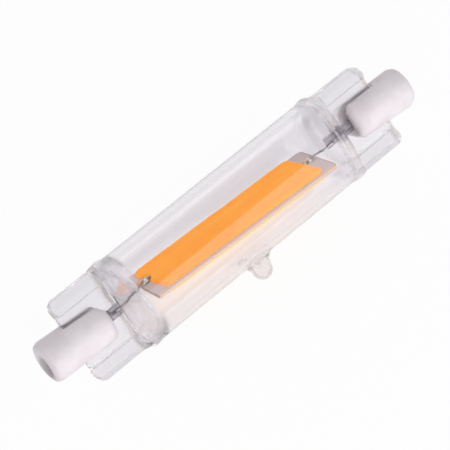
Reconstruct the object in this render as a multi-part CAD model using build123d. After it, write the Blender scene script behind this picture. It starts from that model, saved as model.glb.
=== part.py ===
"""Double-ended linear lamp: a pinched glass tube with a light strip inside and a ceramic cap on each end.

Everything is first built in the pinch frame: X runs along the tube from the near end to the far end, the
flat pinches lie in the XY plane and the exhaust pip points to -Y. The whole lamp is then laid down as it
comes to rest, on the tube and the pip, with +Z up and its origin under the middle of the lamp. Sizes in mm.
"""
from build123d import *
from math import asin, cos, degrees, radians, sqrt
import os

# overall
OVERALL_LENGTH = 78.0

# glass tube
TUBE_DIAMETER = 16.0
TUBE_WALL = 1.0

# pressed flat ends of the glass
PINCH_LENGTH = 9.2
PINCH_WIDTH = 15.6
WEB_THICKNESS = 2.4
PRESS_RUN = 1.7
RIM_WIDTH = 2.4
RIM_THICKNESS = 4.2
RIM_EDGE_RADIUS = 1.3
RIM_INNER_RADIUS = 0.5
RIM_ROOT_RADIUS = 0.35
PINCH_CORNER_RADIUS = 1.4
PRESS_ROOT_RADIUS = 0.9
SEAL_WALL = 1.1
CAVITY_TIP_HEIGHT = 1.8

# exhaust pip at mid length
PIP_DIAMETER = 3.6
PIP_REACH = 10.0
PIP_FLARE_RADIUS = 1.9
PIP_BORE_DIAMETER = 2.2
PIP_BORE_TIP_DIAMETER = 0.6
PIP_BORE_REACH = 9.4

# molybdenum foils in the seals
FOIL_WIDTH = 2.05
FOIL_THICKNESS = 0.1
FOIL_END_DEPTH = 2.3
FOIL_SHIFT = 0.25
NEAR_FOIL_REACH = 0.9
FAR_FOIL_REACH = 2.95

# lead wires
INNER_LEAD_DIAMETER = 0.5
OUTER_LEAD_DIAMETER = 0.7
LEAD_BEND_RADIUS = 1.2
WELD_LENGTH = 1.5
WELD_FLAT = 0.2

# light strip
BOARD_END_ROOM = 5.35
BOARD_SIDE_ROOM = 1.2
BOARD_THICKNESS = 0.5
BOARD_CORNER_RADIUS = 0.6
BOARD_ROLL = -79.0
BOARD_TILT = 2.1
BOARD_YAW = -0.9
BOARD_SHIFT_ALONG = -0.1
BOARD_SHIFT_ACROSS = -0.2
BOARD_SHIFT_OUT = -0.5

# phosphor coats
COAT_THICKNESS = 0.7
COAT_EDGE_RADIUS = 0.5
COAT_LEFT_MARGIN = 0.35
COAT_RIGHT_MARGIN = 0.85
COAT_NEAR_MARGIN = 1.05
COAT_FAR_MARGIN = 3.15
COAT_NEAR_SLANT = 1.3
COAT_FAR_SLANT = 0.9
BACK_COAT_MARGIN = 0.4
COAT_NOTCH_ROOM = 0.1

# light chips in rows under the front coat
CHIP_LENGTH = 1.05
CHIP_WIDTH = 0.5
CHIP_HEIGHT = 0.15
CHIP_END_ROOM = 3.8
CHIP_PITCH = 2.4
CHIP_ROWS = 2
CHIP_SIDE_PITCH = 4.0

# contact pads and solder joints
PAD_LENGTH = 1.8
PAD_WIDTH = 1.6
PAD_THICKNESS = 0.1
PAD_INSET = 1.45
PAD_SIDE_SHIFT = 0.7
SOLDER_DIAMETER = 1.6
LEAD_LIFT = 0.2

# ceramic caps
CAP_LENGTH = 12.3
CAP_OVERLAP = 6.6
CAP_OUTER_DIAMETER = 7.4
CAP_INNER_DIAMETER = 6.9
CAP_EDGE_RADIUS = 1.1
CAP_SKEW = 2.7
CAP_BEVEL_LENGTH = 1.4
CAP_BEVEL_WIDTH = 1.5
CAP_BEVEL_ROUND = 0.4
RECESS_DIAMETER = 4.3
RECESS_DEPTH = 1.55
RECESS_LIP_BEVEL = 0.25
LEAD_HOLE_ROOM = 0.5

# cement between cap and pinch
CEMENT_SIDE = 0.15
CEMENT_END = 0.3
CEMENT_INSET = 0.5

# contact buttons
BUTTON_DIAMETER = 3.2
BUTTON_THICKNESS = 0.8
BUTTON_BEVEL = 0.3

# how near a place has to be to count as the same
TOUCH = 0.01

# worked out from the sizes above
TUBE_RADIUS = TUBE_DIAMETER / 2
BORE_RADIUS = TUBE_RADIUS - TUBE_WALL
CAP_END = OVERALL_LENGTH / 2
CAP_START = CAP_END - CAP_LENGTH
BUTTON_FACE = CAP_END - RECESS_DEPTH
PINCH_END = CAP_START + CAP_OVERLAP
WEB_START = PINCH_END - PINCH_LENGTH
FOIL_OUTER_END = PINCH_END - FOIL_END_DEPTH
NEAR_FOIL_START = WEB_START - NEAR_FOIL_REACH
FAR_FOIL_START = WEB_START - FAR_FOIL_REACH
SLOT_HEIGHT = WEB_THICKNESS + 2 * CEMENT_SIDE
SLOT_FLOOR = PINCH_END + CEMENT_END
PRESS_SLOPE = PRESS_RUN / (TUBE_RADIUS - WEB_THICKNESS / 2)
PIP_RADIUS = PIP_DIAMETER / 2
REST_ROLL = degrees(asin((TUBE_RADIUS - PIP_RADIUS) / PIP_REACH))
REST_SHIFT = (PIP_REACH * cos(radians(REST_ROLL)) + PIP_RADIUS - TUBE_RADIUS) / 2
BOARD_LENGTH = 2 * (WEB_START - BOARD_END_ROOM)
BOARD_WIDTH = 2 * (BORE_RADIUS - BOARD_SIDE_ROOM)
BOARD_TOP = BOARD_THICKNESS / 2
CHIPS_PER_ROW = 1 + int((BOARD_LENGTH - 2 * CHIP_END_ROOM - CHIP_LENGTH) / CHIP_PITCH)


def along_x(start, end, radius):
    """Round bar on the X axis between two places."""
    bar = Cylinder(radius, end - start)
    return Pos(X=(start + end) / 2) * Rot(Y=90) * bar


def press_profile(foot, foot_height, top_height, tail=0.0):
    """Face in the XZ plane: full height in the middle, down a slope to a low foot, then a flat tail."""
    top = foot - PRESS_SLOPE * (top_height - foot_height)
    quarter = [(top, top_height), (foot, foot_height)]
    if tail > 0:
        quarter.append((foot + tail, foot_height))
    upper = [(-x, z) for x, z in reversed(quarter)] + quarter
    lower = [(x, -z) for x, z in reversed(upper)]
    return Plane.XZ * make_face(Polyline(*upper, *lower, close=True))


def pressed_tube():
    """The tube's outside, with its ends squeezed down a slope to the thickness of the web."""
    reach = WEB_START + PRESS_ROOT_RADIUS
    jaw_height = TUBE_RADIUS + TUBE_WALL
    profile = press_profile(WEB_START, WEB_THICKNESS / 2, jaw_height, PRESS_ROOT_RADIUS)
    jaws = extrude(profile, TUBE_RADIUS, both=True)
    roots = [e for e in jaws.edges().filter_by(Axis.Y) if abs(abs(e.center().X) - WEB_START) < TOUCH]
    jaws = fillet(roots, PRESS_ROOT_RADIUS)
    return along_x(-reach, reach, TUBE_RADIUS) & jaws


def pinch_section():
    """Cross-section of a pinch: a thin web with a thick rounded rim along each side."""
    rim_middle = (PINCH_WIDTH - RIM_WIDTH) / 2
    section = Rectangle(PINCH_WIDTH - RIM_WIDTH, WEB_THICKNESS)
    for side in (-1, 1):
        section += Pos(side * rim_middle, 0) * Rectangle(RIM_WIDTH, RIM_THICKNESS)
    rim_inside = PINCH_WIDTH / 2 - RIM_WIDTH
    outer = [v for v in section.vertices() if abs(v.X) > rim_middle]
    section = fillet(outer, RIM_EDGE_RADIUS)
    crest = [v for v in section.vertices() if abs(abs(v.X) - rim_inside) < TOUCH]
    crest = [v for v in crest if abs(v.Y) > WEB_THICKNESS / 2 + TOUCH]
    section = fillet(crest, RIM_INNER_RADIUS)
    root = [v for v in section.vertices() if abs(abs(v.Y) - WEB_THICKNESS / 2) < TOUCH]
    return fillet(root, RIM_ROOT_RADIUS)


def far_pinch():
    """The flat pressed end on the far side, with rounded outer corners."""
    start = WEB_START - PRESS_RUN / 2
    length = PINCH_END - start
    block = Pos(X=start) * extrude(Plane.YZ * pinch_section(), length)
    plan = Pos((start + PINCH_END) / 2, 0) * Rectangle(length, PINCH_WIDTH)
    corners = plan.vertices().sort_by(Axis.X)[-2:]
    plan = fillet(corners, PINCH_CORNER_RADIUS)
    return block & extrude(plan, RIM_THICKNESS, both=True)


def pip_outside():
    """The melted-off exhaust stub with its round tip."""
    stub = Pos(Y=-PIP_REACH / 2) * Rot(X=90) * Cylinder(PIP_RADIUS, PIP_REACH)
    return stub + Pos(Y=-PIP_REACH) * Sphere(PIP_RADIUS)


def cavity():
    """The sealed space inside: the tube's bore, wedge-shaped towards both seals, and the pip's bore."""
    tip = CAVITY_TIP_HEIGHT / 2
    slope_wall = SEAL_WALL * (1 + PRESS_SLOPE ** 2) ** 0.5
    foot = WEB_START + PRESS_SLOPE * (WEB_THICKNESS / 2 - tip) - slope_wall
    profile = press_profile(foot, tip, TUBE_RADIUS)
    hollow = along_x(-foot, foot, BORE_RADIUS) & extrude(profile, TUBE_RADIUS, both=True)
    depth = PIP_BORE_REACH - BORE_RADIUS + TUBE_WALL
    funnel = Cone(PIP_BORE_DIAMETER / 2, PIP_BORE_TIP_DIAMETER / 2, depth)
    return hollow + Pos(Y=-PIP_BORE_REACH + depth / 2) * Rot(X=90) * funnel


def glass_envelope(embedded):
    """One piece of glass: tube, two pinches and the pip, closed round what is sealed into it."""
    body = pressed_tube() + pip_outside()
    rim = [e for e in body.edges() if e.center().Y < -BORE_RADIUS and abs(e.center().X) < PIP_DIAMETER]
    rim = [e for e in rim if TUBE_RADIUS - PIP_RADIUS < -e.center().Y < TUBE_RADIUS + TOUCH]
    body = fillet(rim, PIP_FLARE_RADIUS)
    body += far_pinch()
    body += Rot(Z=180) * far_pinch()
    body -= cavity()
    for piece in embedded:
        body -= piece
    return body


def foil(start):
    """Thin metal ribbon in the far seal, from the given place outwards."""
    length = FOIL_OUTER_END - start
    return Pos((start + FOIL_OUTER_END) / 2, -FOIL_SHIFT, 0) * Box(length, FOIL_WIDTH, FOIL_THICKNESS)


def weld_height(diameter):
    """Height of a wire's middle where it is pressed a little flat onto the ribbon."""
    return FOIL_THICKNESS / 2 + diameter / 2 * (1 - WELD_FLAT)


def board_place():
    """Where the light strip stands: X along it, Y across it and Z out of its front face."""
    shift = Pos(BOARD_SHIFT_ALONG, BOARD_SHIFT_ACROSS, BOARD_SHIFT_OUT)
    return Rot(X=BOARD_ROLL) * shift * Rot(Y=BOARD_TILT) * Rot(Z=BOARD_YAW)


def pad_spot(end):
    """Middle of the contact pad on the board, at the near end (-1) or the far end (1)."""
    return Pos(end * (BOARD_LENGTH / 2 - PAD_INSET), PAD_SIDE_SHIFT, BOARD_TOP)


def solder_target(end):
    """Point inside the solder where the inner lead ends, in the pinch frame."""
    height = PAD_THICKNESS + INNER_LEAD_DIAMETER / 2 + LEAD_LIFT
    return (board_place() * pad_spot(end) * Pos(Z=height)).position


def inner_lead(end, start, side, ribbon):
    """Wire from its weld on the ribbon to the solder joint on the board, with one tangent bend."""
    height = weld_height(INNER_LEAD_DIAMETER)
    weld = (end * (start + WELD_LENGTH), side, height)
    bend = (end * (start - INNER_LEAD_DIAMETER), side, height)
    path = FilletPolyline(weld, bend, solder_target(end), radius=LEAD_BEND_RADIUS)
    return sweep(Plane(path @ 0, z_dir=path % 0) * Circle(INNER_LEAD_DIAMETER / 2), path) - ribbon


def cap_turn():
    """Small skew of the far cap about the middle of its seat, in the plane of the pinch."""
    return Pos(X=CAP_START) * Rot(Z=-CAP_SKEW) * Pos(X=-CAP_START)


def far_outer_lead(ribbon):
    """Straight wire from the ribbon's outer end to the back of the contact button."""
    side = Pos(0, -FOIL_SHIFT, weld_height(OUTER_LEAD_DIAMETER))
    rod = along_x(FOIL_OUTER_END - WELD_LENGTH, BUTTON_FACE - BUTTON_THICKNESS / 2, OUTER_LEAD_DIAMETER / 2)
    return side * rod - ribbon - far_button()


def cap_outside():
    """Turned outside of the far cap: a slight taper, an outer edge eased in two steps, bevelled inner corners."""
    inner = CAP_INNER_DIAMETER / 2
    outer = CAP_OUTER_DIAMETER / 2
    ease = CAP_EDGE_RADIUS * (1 - sqrt(0.5))
    edge = [(CAP_END - CAP_EDGE_RADIUS, outer), (CAP_END - ease, outer - ease)]
    edge.append((CAP_END, outer - CAP_EDGE_RADIUS))
    outline = Polyline((CAP_START, 0), (CAP_START, inner), *edge, (CAP_END, 0), close=True)
    body = revolve(make_face(outline), Axis.X)
    half = CAP_OUTER_DIAMETER / 2
    nose = [(CAP_START, half - CAP_BEVEL_WIDTH), (CAP_START + CAP_BEVEL_LENGTH, half)]
    outline = [(CAP_END, half), (CAP_END, -half)] + [(x, -y) for x, y in reversed(nose)] + nose
    plan = make_face(Polyline(*outline, close=True))
    tips = plan.vertices().sort_by(Axis.X)[:-2]
    plan = fillet(tips, CAP_BEVEL_ROUND)
    return body & extrude(plan, CAP_OUTER_DIAMETER, both=True)


def cap_slot():
    """The slot that straddles the web of the pinch."""
    length = SLOT_FLOOR - CAP_START
    return Pos(X=(CAP_START + SLOT_FLOOR) / 2) * Box(length, CAP_OUTER_DIAMETER, SLOT_HEIGHT)


def far_cap():
    """Ceramic cap with its slot, lead hole and recessed contact seat."""
    cap = cap_outside() - cap_slot()
    cap -= along_x(BUTTON_FACE, CAP_END, RECESS_DIAMETER / 2)
    cap -= along_x(BUTTON_FACE - BUTTON_THICKNESS, CAP_END, BUTTON_DIAMETER / 2)
    cap -= along_x(SLOT_FLOOR, CAP_END, OUTER_LEAD_DIAMETER / 2 + LEAD_HOLE_ROOM)
    mouth = [e for e in cap.edges().filter_by(GeomType.CIRCLE) if abs(e.center().X - CAP_END) < TOUCH]
    mouth = [e for e in mouth if abs(e.radius - RECESS_DIAMETER / 2) < TOUCH]
    return cap_turn() * chamfer(mouth, RECESS_LIP_BEVEL)


def far_button():
    """Metal contact seated at the bottom of the recess, with a bevelled face."""
    disc = along_x(BUTTON_FACE - BUTTON_THICKNESS, BUTTON_FACE, BUTTON_DIAMETER / 2)
    return cap_turn() * chamfer(disc.edges().sort_by(Axis.X)[-1], BUTTON_BEVEL)


def far_cement(sealed):
    """Cement that fills the slot of the far cap round the end of the pinch."""
    start = CAP_START + CEMENT_INSET
    bed = Box(SLOT_FLOOR - start, CAP_INNER_DIAMETER - 2 * CEMENT_INSET, SLOT_HEIGHT)
    bed = cap_turn() * Pos(X=(start + SLOT_FLOOR) / 2) * bed
    for piece in sealed:
        bed -= piece
    return bed


def board():
    """Thin translucent strip with rounded corners."""
    return extrude(RectangleRounded(BOARD_LENGTH, BOARD_WIDTH, BOARD_CORNER_RADIUS), BOARD_TOP, both=True)


def coat(outline, soften):
    """Layer of phosphor over an outline on the board's front face, rounded or bevelled down to the board."""
    layer = Pos(Z=BOARD_TOP) * extrude(make_face(Polyline(*outline, close=True)), COAT_THICKNESS)
    return soften(layer.edges() - layer.edges().group_by(Axis.Z)[0], COAT_EDGE_RADIUS)


def front_coat():
    """Coat over the chips, with the slanted ends of the poured layer and notched round the contact pads."""
    left = BOARD_WIDTH / 2 - COAT_LEFT_MARGIN
    right = -BOARD_WIDTH / 2 + COAT_RIGHT_MARGIN
    near = -BOARD_LENGTH / 2 + COAT_NEAR_MARGIN
    far = BOARD_LENGTH / 2 - COAT_FAR_MARGIN
    outline = [(near, left), (near + COAT_NEAR_SLANT, right), (far + COAT_FAR_SLANT, right), (far, left)]
    layer = coat(outline, fillet)
    for end in (-1, 1):
        notch = Box(PAD_LENGTH + 2 * COAT_NOTCH_ROOM, PAD_WIDTH + 2 * COAT_NOTCH_ROOM, 2 * COAT_THICKNESS)
        layer -= pad_spot(end) * Pos(Z=COAT_THICKNESS) * notch
    for chip in chips():
        layer -= chip
    return layer


def back_coat():
    """Coat on the other face, reaching nearer to the long edges."""
    half = BOARD_WIDTH / 2 - BACK_COAT_MARGIN
    near = -BOARD_LENGTH / 2 + COAT_NEAR_MARGIN + COAT_NEAR_SLANT
    far = BOARD_LENGTH / 2 - COAT_FAR_MARGIN + COAT_FAR_SLANT
    return Rot(X=180) * coat([(near, half), (near, -half), (far, -half), (far, half)], chamfer)


def chips():
    """Rows of light chips on the front face."""
    chip = Pos(Z=BOARD_TOP + CHIP_HEIGHT / 2) * Box(CHIP_LENGTH, CHIP_WIDTH, CHIP_HEIGHT)
    spots = GridLocations(CHIP_PITCH, CHIP_SIDE_PITCH, CHIPS_PER_ROW, CHIP_ROWS)
    return [spot * chip for spot in spots]


def pad(end):
    """Metal pad that the lead is soldered to."""
    return pad_spot(end) * Pos(Z=PAD_THICKNESS / 2) * Box(PAD_LENGTH, PAD_WIDTH, PAD_THICKNESS)


def solder(end):
    """Round bead of solder on the pad."""
    radius = SOLDER_DIAMETER / 2
    above = Pos(Z=radius / 2) * Box(SOLDER_DIAMETER, SOLDER_DIAMETER, radius)
    return pad_spot(end) * Pos(Z=PAD_THICKNESS) * (Sphere(radius) & above)


def build():
    """All pieces by node name, in the pinch frame."""
    turned = Rot(Z=180)
    far_foil = foil(FAR_FOIL_START)
    near_foil = turned * foil(NEAR_FOIL_START)
    near_lead = inner_lead(-1, NEAR_FOIL_START, FOIL_SHIFT, near_foil)
    far_lead = inner_lead(1, FAR_FOIL_START, -FOIL_SHIFT - FOIL_WIDTH / 4, far_foil)
    outer_far = far_outer_lead(far_foil)
    outer_near = turned * far_outer_lead(turned * near_foil)
    glass = glass_envelope([far_foil, near_foil, near_lead, far_lead, outer_far, outer_near])
    place = board_place()
    nodes = {"glass_envelope": glass, "led_substrate": place * board()}
    nodes["phosphor_front"] = place * front_coat()
    nodes["phosphor_back"] = place * back_coat()
    nodes["led_chips"] = Compound(children=[place * chip for chip in chips()])
    for name, end, lead in (("near", -1, near_lead), ("far", 1, far_lead)):
        nodes["contact_pad_" + name] = place * pad(end)
        nodes["solder_joint_" + name] = place * solder(end) - lead
        nodes["inner_lead_" + name] = lead
    nodes["seal_foil_near"] = near_foil
    nodes["seal_foil_far"] = far_foil
    nodes["outer_lead_near"] = outer_near
    nodes["outer_lead_far"] = outer_far
    nodes["ceramic_cap_near"] = turned * far_cap()
    nodes["ceramic_cap_far"] = far_cap()
    nodes["contact_button_near"] = turned * far_button()
    nodes["contact_button_far"] = far_button()
    nodes["cap_cement_near"] = turned * far_cement([turned * p for p in (glass, near_foil, outer_near)])
    nodes["cap_cement_far"] = far_cement([glass, far_foil, outer_far])
    return nodes


def main():
    """Lay the lamp down as it rests and write each piece to its own file."""
    rest = Pos(0, REST_SHIFT, TUBE_RADIUS) * Rot(X=REST_ROLL)
    os.makedirs("parts", exist_ok=True)
    for name, shape in build().items():
        export_step(rest * shape, "parts/" + name + ".step")


main()
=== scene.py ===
"""Double-ended linear lamp: glass, ribbons, leads, phosphor and studio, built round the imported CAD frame.

Shapes are worked out in the pinch frame in millimetres: X runs along the tube from the near end to the far
end, the flat pinches lie in the XY plane and the exhaust pip points to -Y. A Place then lays them down as the
lamp rests, and the points become metres.
"""
import logging
import math
from dataclasses import dataclass, field
from enum import Enum

import bmesh
import bpy
import numpy as np
from mathutils import Matrix, Vector


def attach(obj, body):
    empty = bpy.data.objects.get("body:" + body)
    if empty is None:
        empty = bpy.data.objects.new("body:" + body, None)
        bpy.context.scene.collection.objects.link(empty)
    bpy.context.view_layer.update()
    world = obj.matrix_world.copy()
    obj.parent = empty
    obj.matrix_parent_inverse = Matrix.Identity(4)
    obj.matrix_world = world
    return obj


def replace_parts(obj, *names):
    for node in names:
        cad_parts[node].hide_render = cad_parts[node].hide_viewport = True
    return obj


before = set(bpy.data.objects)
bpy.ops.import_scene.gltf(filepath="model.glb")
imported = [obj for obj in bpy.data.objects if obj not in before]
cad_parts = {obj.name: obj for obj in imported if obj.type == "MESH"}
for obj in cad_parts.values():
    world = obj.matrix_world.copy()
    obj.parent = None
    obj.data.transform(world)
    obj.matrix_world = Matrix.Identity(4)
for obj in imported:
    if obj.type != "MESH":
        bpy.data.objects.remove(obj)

log = logging.getLogger("lamp")
MM = 0.001
JOIN = 0.001  # points nearer than this many millimetres are one
Pair = tuple[float, float]
Spot = tuple[float, float, float]
Colour = tuple[float, float, float]
Material = bpy.types.Material


# ---- places


class Place:
    """A place in space as a 4 by 4 matrix in millimetres."""

    def __init__(self, matrix: np.ndarray | None = None) -> None:
        """Start from the given matrix, or from no movement at all."""
        self.matrix = np.eye(4) if matrix is None else matrix

    def moved(self, x: float = 0.0, y: float = 0.0, z: float = 0.0) -> "Place":
        """The place after a further shift."""
        shift = np.eye(4)
        shift[:3, 3] = (x, y, z)
        return Place(shift @ self.matrix)

    def turned(self, axis: str, degrees: float) -> "Place":
        """The place after a further right-handed turn about X, Y or Z."""
        turn = np.array(Matrix.Rotation(math.radians(degrees), 4, axis))
        return Place(turn @ self.matrix)

    def inside(self, outer: "Place") -> "Place":
        """This place carried by an outer one."""
        return Place(outer.matrix @ self.matrix)

    def apply(self, points: np.ndarray) -> np.ndarray:
        """Points in millimetres, carried to this place. The last axis holds x, y and z."""
        return points @ self.matrix[:3, :3].T + self.matrix[:3, 3]

    def spot(self) -> Spot:
        """Where the place's origin lies, in metres."""
        return tuple(float(v) * MM for v in self.matrix[:3, 3])

    def turn(self) -> Spot:
        """Its turn as Blender's own three angles, in radians."""
        return tuple(Matrix(self.matrix.tolist()).to_euler())


class End(Enum):
    """An end of the lamp: the word that its pieces' names carry, and its side of the middle."""

    NEAR = ("near", -1)
    FAR = ("far", 1)

    def __init__(self, label: str, sign: int) -> None:
        """Keep both at hand."""
        self.label = label
        self.sign = sign


@dataclass(frozen=True)
class Layout:
    """Sizes that several pieces share, in millimetres, and the places worked out from them."""

    tube_radius: float = 8.0
    pip_radius: float = 1.8
    pip_reach: float = 10.0
    web_start: float = 24.1
    pinch_end: float = 33.3
    board_length: float = 37.5
    board_width: float = 11.6
    board_thickness: float = 0.5
    foil_end: float = 31.0
    foil_width: float = 2.05
    foil_side: float = 0.25
    pad_inset: float = 1.45
    pad_side: float = 0.7
    board_yaw: float = -0.9
    board_tilt: float = 2.1
    board_roll: float = -79.0
    board_shift: Spot = (-0.1, -0.2, -0.5)

    def rest(self) -> Place:
        """Place of the pinch frame: the lamp lies on its tube and on the tip of its pip.

        Returns:
            The place, rolled until the floor touches both, and with the lamp's box in the middle.
        """
        roll = math.asin((self.tube_radius - self.pip_radius) / self.pip_reach)
        shift = (self.pip_reach * math.cos(roll) + self.pip_radius - self.tube_radius) / 2
        return Place().turned("X", math.degrees(roll)).moved(y=shift, z=self.tube_radius)

    def board(self) -> Place:
        """Place of the light strip: X along it, Y across it and Z out of its front face."""
        strip = Place().turned("Z", self.board_yaw).turned("Y", self.board_tilt).moved(*self.board_shift)
        return strip.turned("X", self.board_roll).inside(self.rest())

    def end(self, end: End) -> Place:
        """Place of something drawn for the far end, which is turned half round for the near end."""
        return (Place() if end.sign > 0 else Place().turned("Z", 180.0)).inside(self.rest())

    def pad(self, end: End) -> np.ndarray:
        """Middle of a contact pad, along and across the board."""
        return np.array([end.sign * (self.board_length / 2 - self.pad_inset), self.pad_side])


LAYOUT = Layout()
REST = LAYOUT.rest()
BOARD = LAYOUT.board()


# ---- meshes


def smooth_step(low: float, high: float, value: np.ndarray) -> np.ndarray:
    """0 below low, 1 above high, and an S-shaped rise between them."""
    t = np.clip((value - low) / (high - low), 0.0, 1.0)
    return t * t * (3.0 - 2.0 * t)


def soft_min(a: np.ndarray, b: np.ndarray, blend: np.ndarray | float) -> np.ndarray:
    """The smaller of two values, rounded where they come within blend of each other."""
    h = np.clip(0.5 + 0.5 * (b - a) / blend, 0.0, 1.0)
    return b * (1.0 - h) + a * h - blend * h * (1.0 - h)


def soft_max(a: np.ndarray, b: np.ndarray, blend: np.ndarray | float) -> np.ndarray:
    """The larger of two values, rounded where they cross."""
    return -soft_min(-a, -b, blend)


def quarter_drop(distance: np.ndarray, radius: float) -> np.ndarray:
    """Fall of a quarter-round edge: nothing at a distance of radius from its end, and radius at the end."""
    past = np.clip(1.0 - distance / radius, 0.0, 1.0)
    return radius * (1.0 - np.sqrt(1.0 - past * past))


def spread(*stretches: tuple[float, float, int]) -> np.ndarray:
    """Places along a line, from stretches of start, end and count that follow on each other."""
    return np.unique(np.concatenate([np.linspace(a, b, n) for a, b, n in stretches]).round(6))


def waves(points: np.ndarray, length: float, seed: float) -> np.ndarray:
    """A slow smooth unevenness: the mean of two products of sines that run in crossing directions.

    Args:
        points: places in millimetres.
        length: about the length of a wave.
        seed: shifts the waves.

    Returns:
        Values between about -1 and 1.
    """
    x, y, z = (points[..., k] * 2.0 * math.pi / length for k in range(3))
    one = np.sin(x * 0.8 + y * 0.5 + seed) * np.sin(y * 0.7 - z * 0.5 + 2.1 * seed)
    two = np.sin(x * 0.4 - z * 0.9 + 3.3 * seed) * np.sin(z * 0.6 + x * 0.9 + seed)
    return 0.5 * (one + two)


@dataclass
class Skin:
    """A mesh under construction: points in millimetres with the faces between them."""

    points: list[np.ndarray] = field(default_factory=list)
    faces: list[np.ndarray] = field(default_factory=list)
    count: int = 0

    def grid(self, grid: np.ndarray, wrap: bool = True, flip: bool = False) -> "Skin":
        """Append a surface given on a grid of two parameters.

        Args:
            grid: array of rows by columns by 3.
            wrap: whether the columns close on themselves.
            flip: whether the faces look the other way.

        Returns:
            This skin.
        """
        rows, columns = grid.shape[:2]
        across = columns if wrap else columns - 1
        i, j = np.meshgrid(np.arange(rows - 1), np.arange(across), indexing="ij")
        k = (j + 1) % columns
        quads = np.stack([i * columns + j, i * columns + k, (i + 1) * columns + k, (i + 1) * columns + j], -1)
        quads = (quads[..., ::-1] if flip else quads).reshape(-1, 4)
        self.points.append(grid.reshape(-1, 3))
        self.faces.append(quads + self.count)
        self.count += rows * columns
        return self

    def closed(self, grid: np.ndarray, flip: bool = False) -> "Skin":
        """Append a tube-like grid, and close both its ends with a strip between the halves of the end row.

        Args:
            grid: array of rows by an even count of columns by 3, whose columns mirror each other.
            flip: whether the faces look the other way.

        Returns:
            This skin.
        """
        self.grid(grid, flip=flip)
        half = grid.shape[1] // 2
        for row, turned in ((grid[0], not flip), (grid[-1], flip)):
            back = np.concatenate([row[:1], row[:half - 1:-1]])
            self.grid(np.stack([row[:half + 1], back]), wrap=False, flip=turned)
        return self

    def piece(self, name: str, place: Place) -> "Piece":
        """Make the mesh in the row frame and in metres, with its seams and poles merged.

        Args:
            name: the piece's name.
            place: where its points go.

        Returns:
            The piece, not shown yet.
        """
        points = place.apply(np.concatenate(self.points)) * MM
        mesh = bpy.data.meshes.new(name)
        mesh.from_pydata(points, [], np.concatenate(self.faces).tolist())
        return Piece(name, mesh).joined(JOIN)


@dataclass
class Piece:
    """A mesh on its way to becoming a named piece of the lamp."""

    name: str
    mesh: bpy.types.Mesh

    def joined(self, distance: float) -> "Piece":
        """Merge near points, drop the faces that this flattens, and log the mesh.

        Args:
            distance: points nearer than this are one, in millimetres.

        Returns:
            This piece.
        """
        work = bmesh.new()
        work.from_mesh(self.mesh)
        bmesh.ops.remove_doubles(work, verts=work.verts, dist=distance * MM)
        bmesh.ops.dissolve_degenerate(work, edges=work.edges, dist=distance * MM / 4)
        uneven = sum(1 for edge in work.edges if not edge.is_contiguous)
        volume = work.calc_volume(signed=True) / MM ** 3
        work.to_mesh(self.mesh)
        work.free()
        faces = len(self.mesh.polygons)
        log.info("%s: %d faces, %d uneven edges, %.2f mm3", self.name, faces, uneven, volume)
        return self

    def shown(self, material: Material, slot: str, crisp: float = 180.0) -> bpy.types.Object:
        """Give the piece its finish, its shading and its body.

        Args:
            material: its finish.
            slot: not used.
            crisp: edges sharper than this angle in degrees stay crisp.

        Returns:
            The piece's object.
        """
        self.mesh.materials.append(material)
        self.mesh.polygons.foreach_set("use_smooth", np.ones(len(self.mesh.polygons), bool))
        if crisp < 180.0:
            self.mesh.set_sharp_from_angle(angle=math.radians(crisp))
        piece = bpy.data.objects.new(self.name, self.mesh)
        bpy.context.scene.collection.objects.link(piece)
        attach(piece, "root")
        return piece


# ---- shader maths


class Value:
    """One output socket of a shader tree. Arithmetic on it adds Math nodes."""

    def __init__(self, tree: "ShaderTree", socket: bpy.types.NodeSocket) -> None:
        """Wrap a socket of a tree."""
        self.tree = tree
        self.socket = socket

    def math(self, operation: str, first: "Value | float", second: "Value | float") -> "Value":
        """The result of a Math node."""
        node = self.tree.add("ShaderNodeMath", {"operation": operation}, {0: first, 1: second})
        return Value(self.tree, node.outputs[0])

    def __add__(self, other: "Value | float") -> "Value":
        """Sum."""
        return self.math("ADD", self, other)

    def __sub__(self, other: "Value | float") -> "Value":
        """Difference."""
        return self.math("SUBTRACT", self, other)

    def __rsub__(self, other: float) -> "Value":
        """Difference, the other way."""
        return self.math("SUBTRACT", other, self)

    def __mul__(self, other: "Value | float") -> "Value":
        """Product."""
        return self.math("MULTIPLY", self, other)

    __radd__ = __add__
    __rmul__ = __mul__

    def size(self) -> "Value":
        """The value without its sign."""
        return self.math("ABSOLUTE", self, 0.0)

    def larger(self, other: "Value | float") -> "Value":
        """The larger of the two."""
        return self.math("MAXIMUM", self, other)

    def rise(self, low: float, high: float) -> "Value":
        """0 at low and 1 at high, smooth between them; low may lie above high for a fall."""
        inputs = {"Value": self, "From Min": low, "From Max": high}
        return self.tree.out(
            self.tree.add("ShaderNodeMapRange", {"interpolation_type": "SMOOTHSTEP"}, inputs))

    def lifted(self, least: float) -> "Value":
        """The value squeezed so that 0 becomes the least and 1 stays."""
        return self * (1.0 - least) + least


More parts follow.
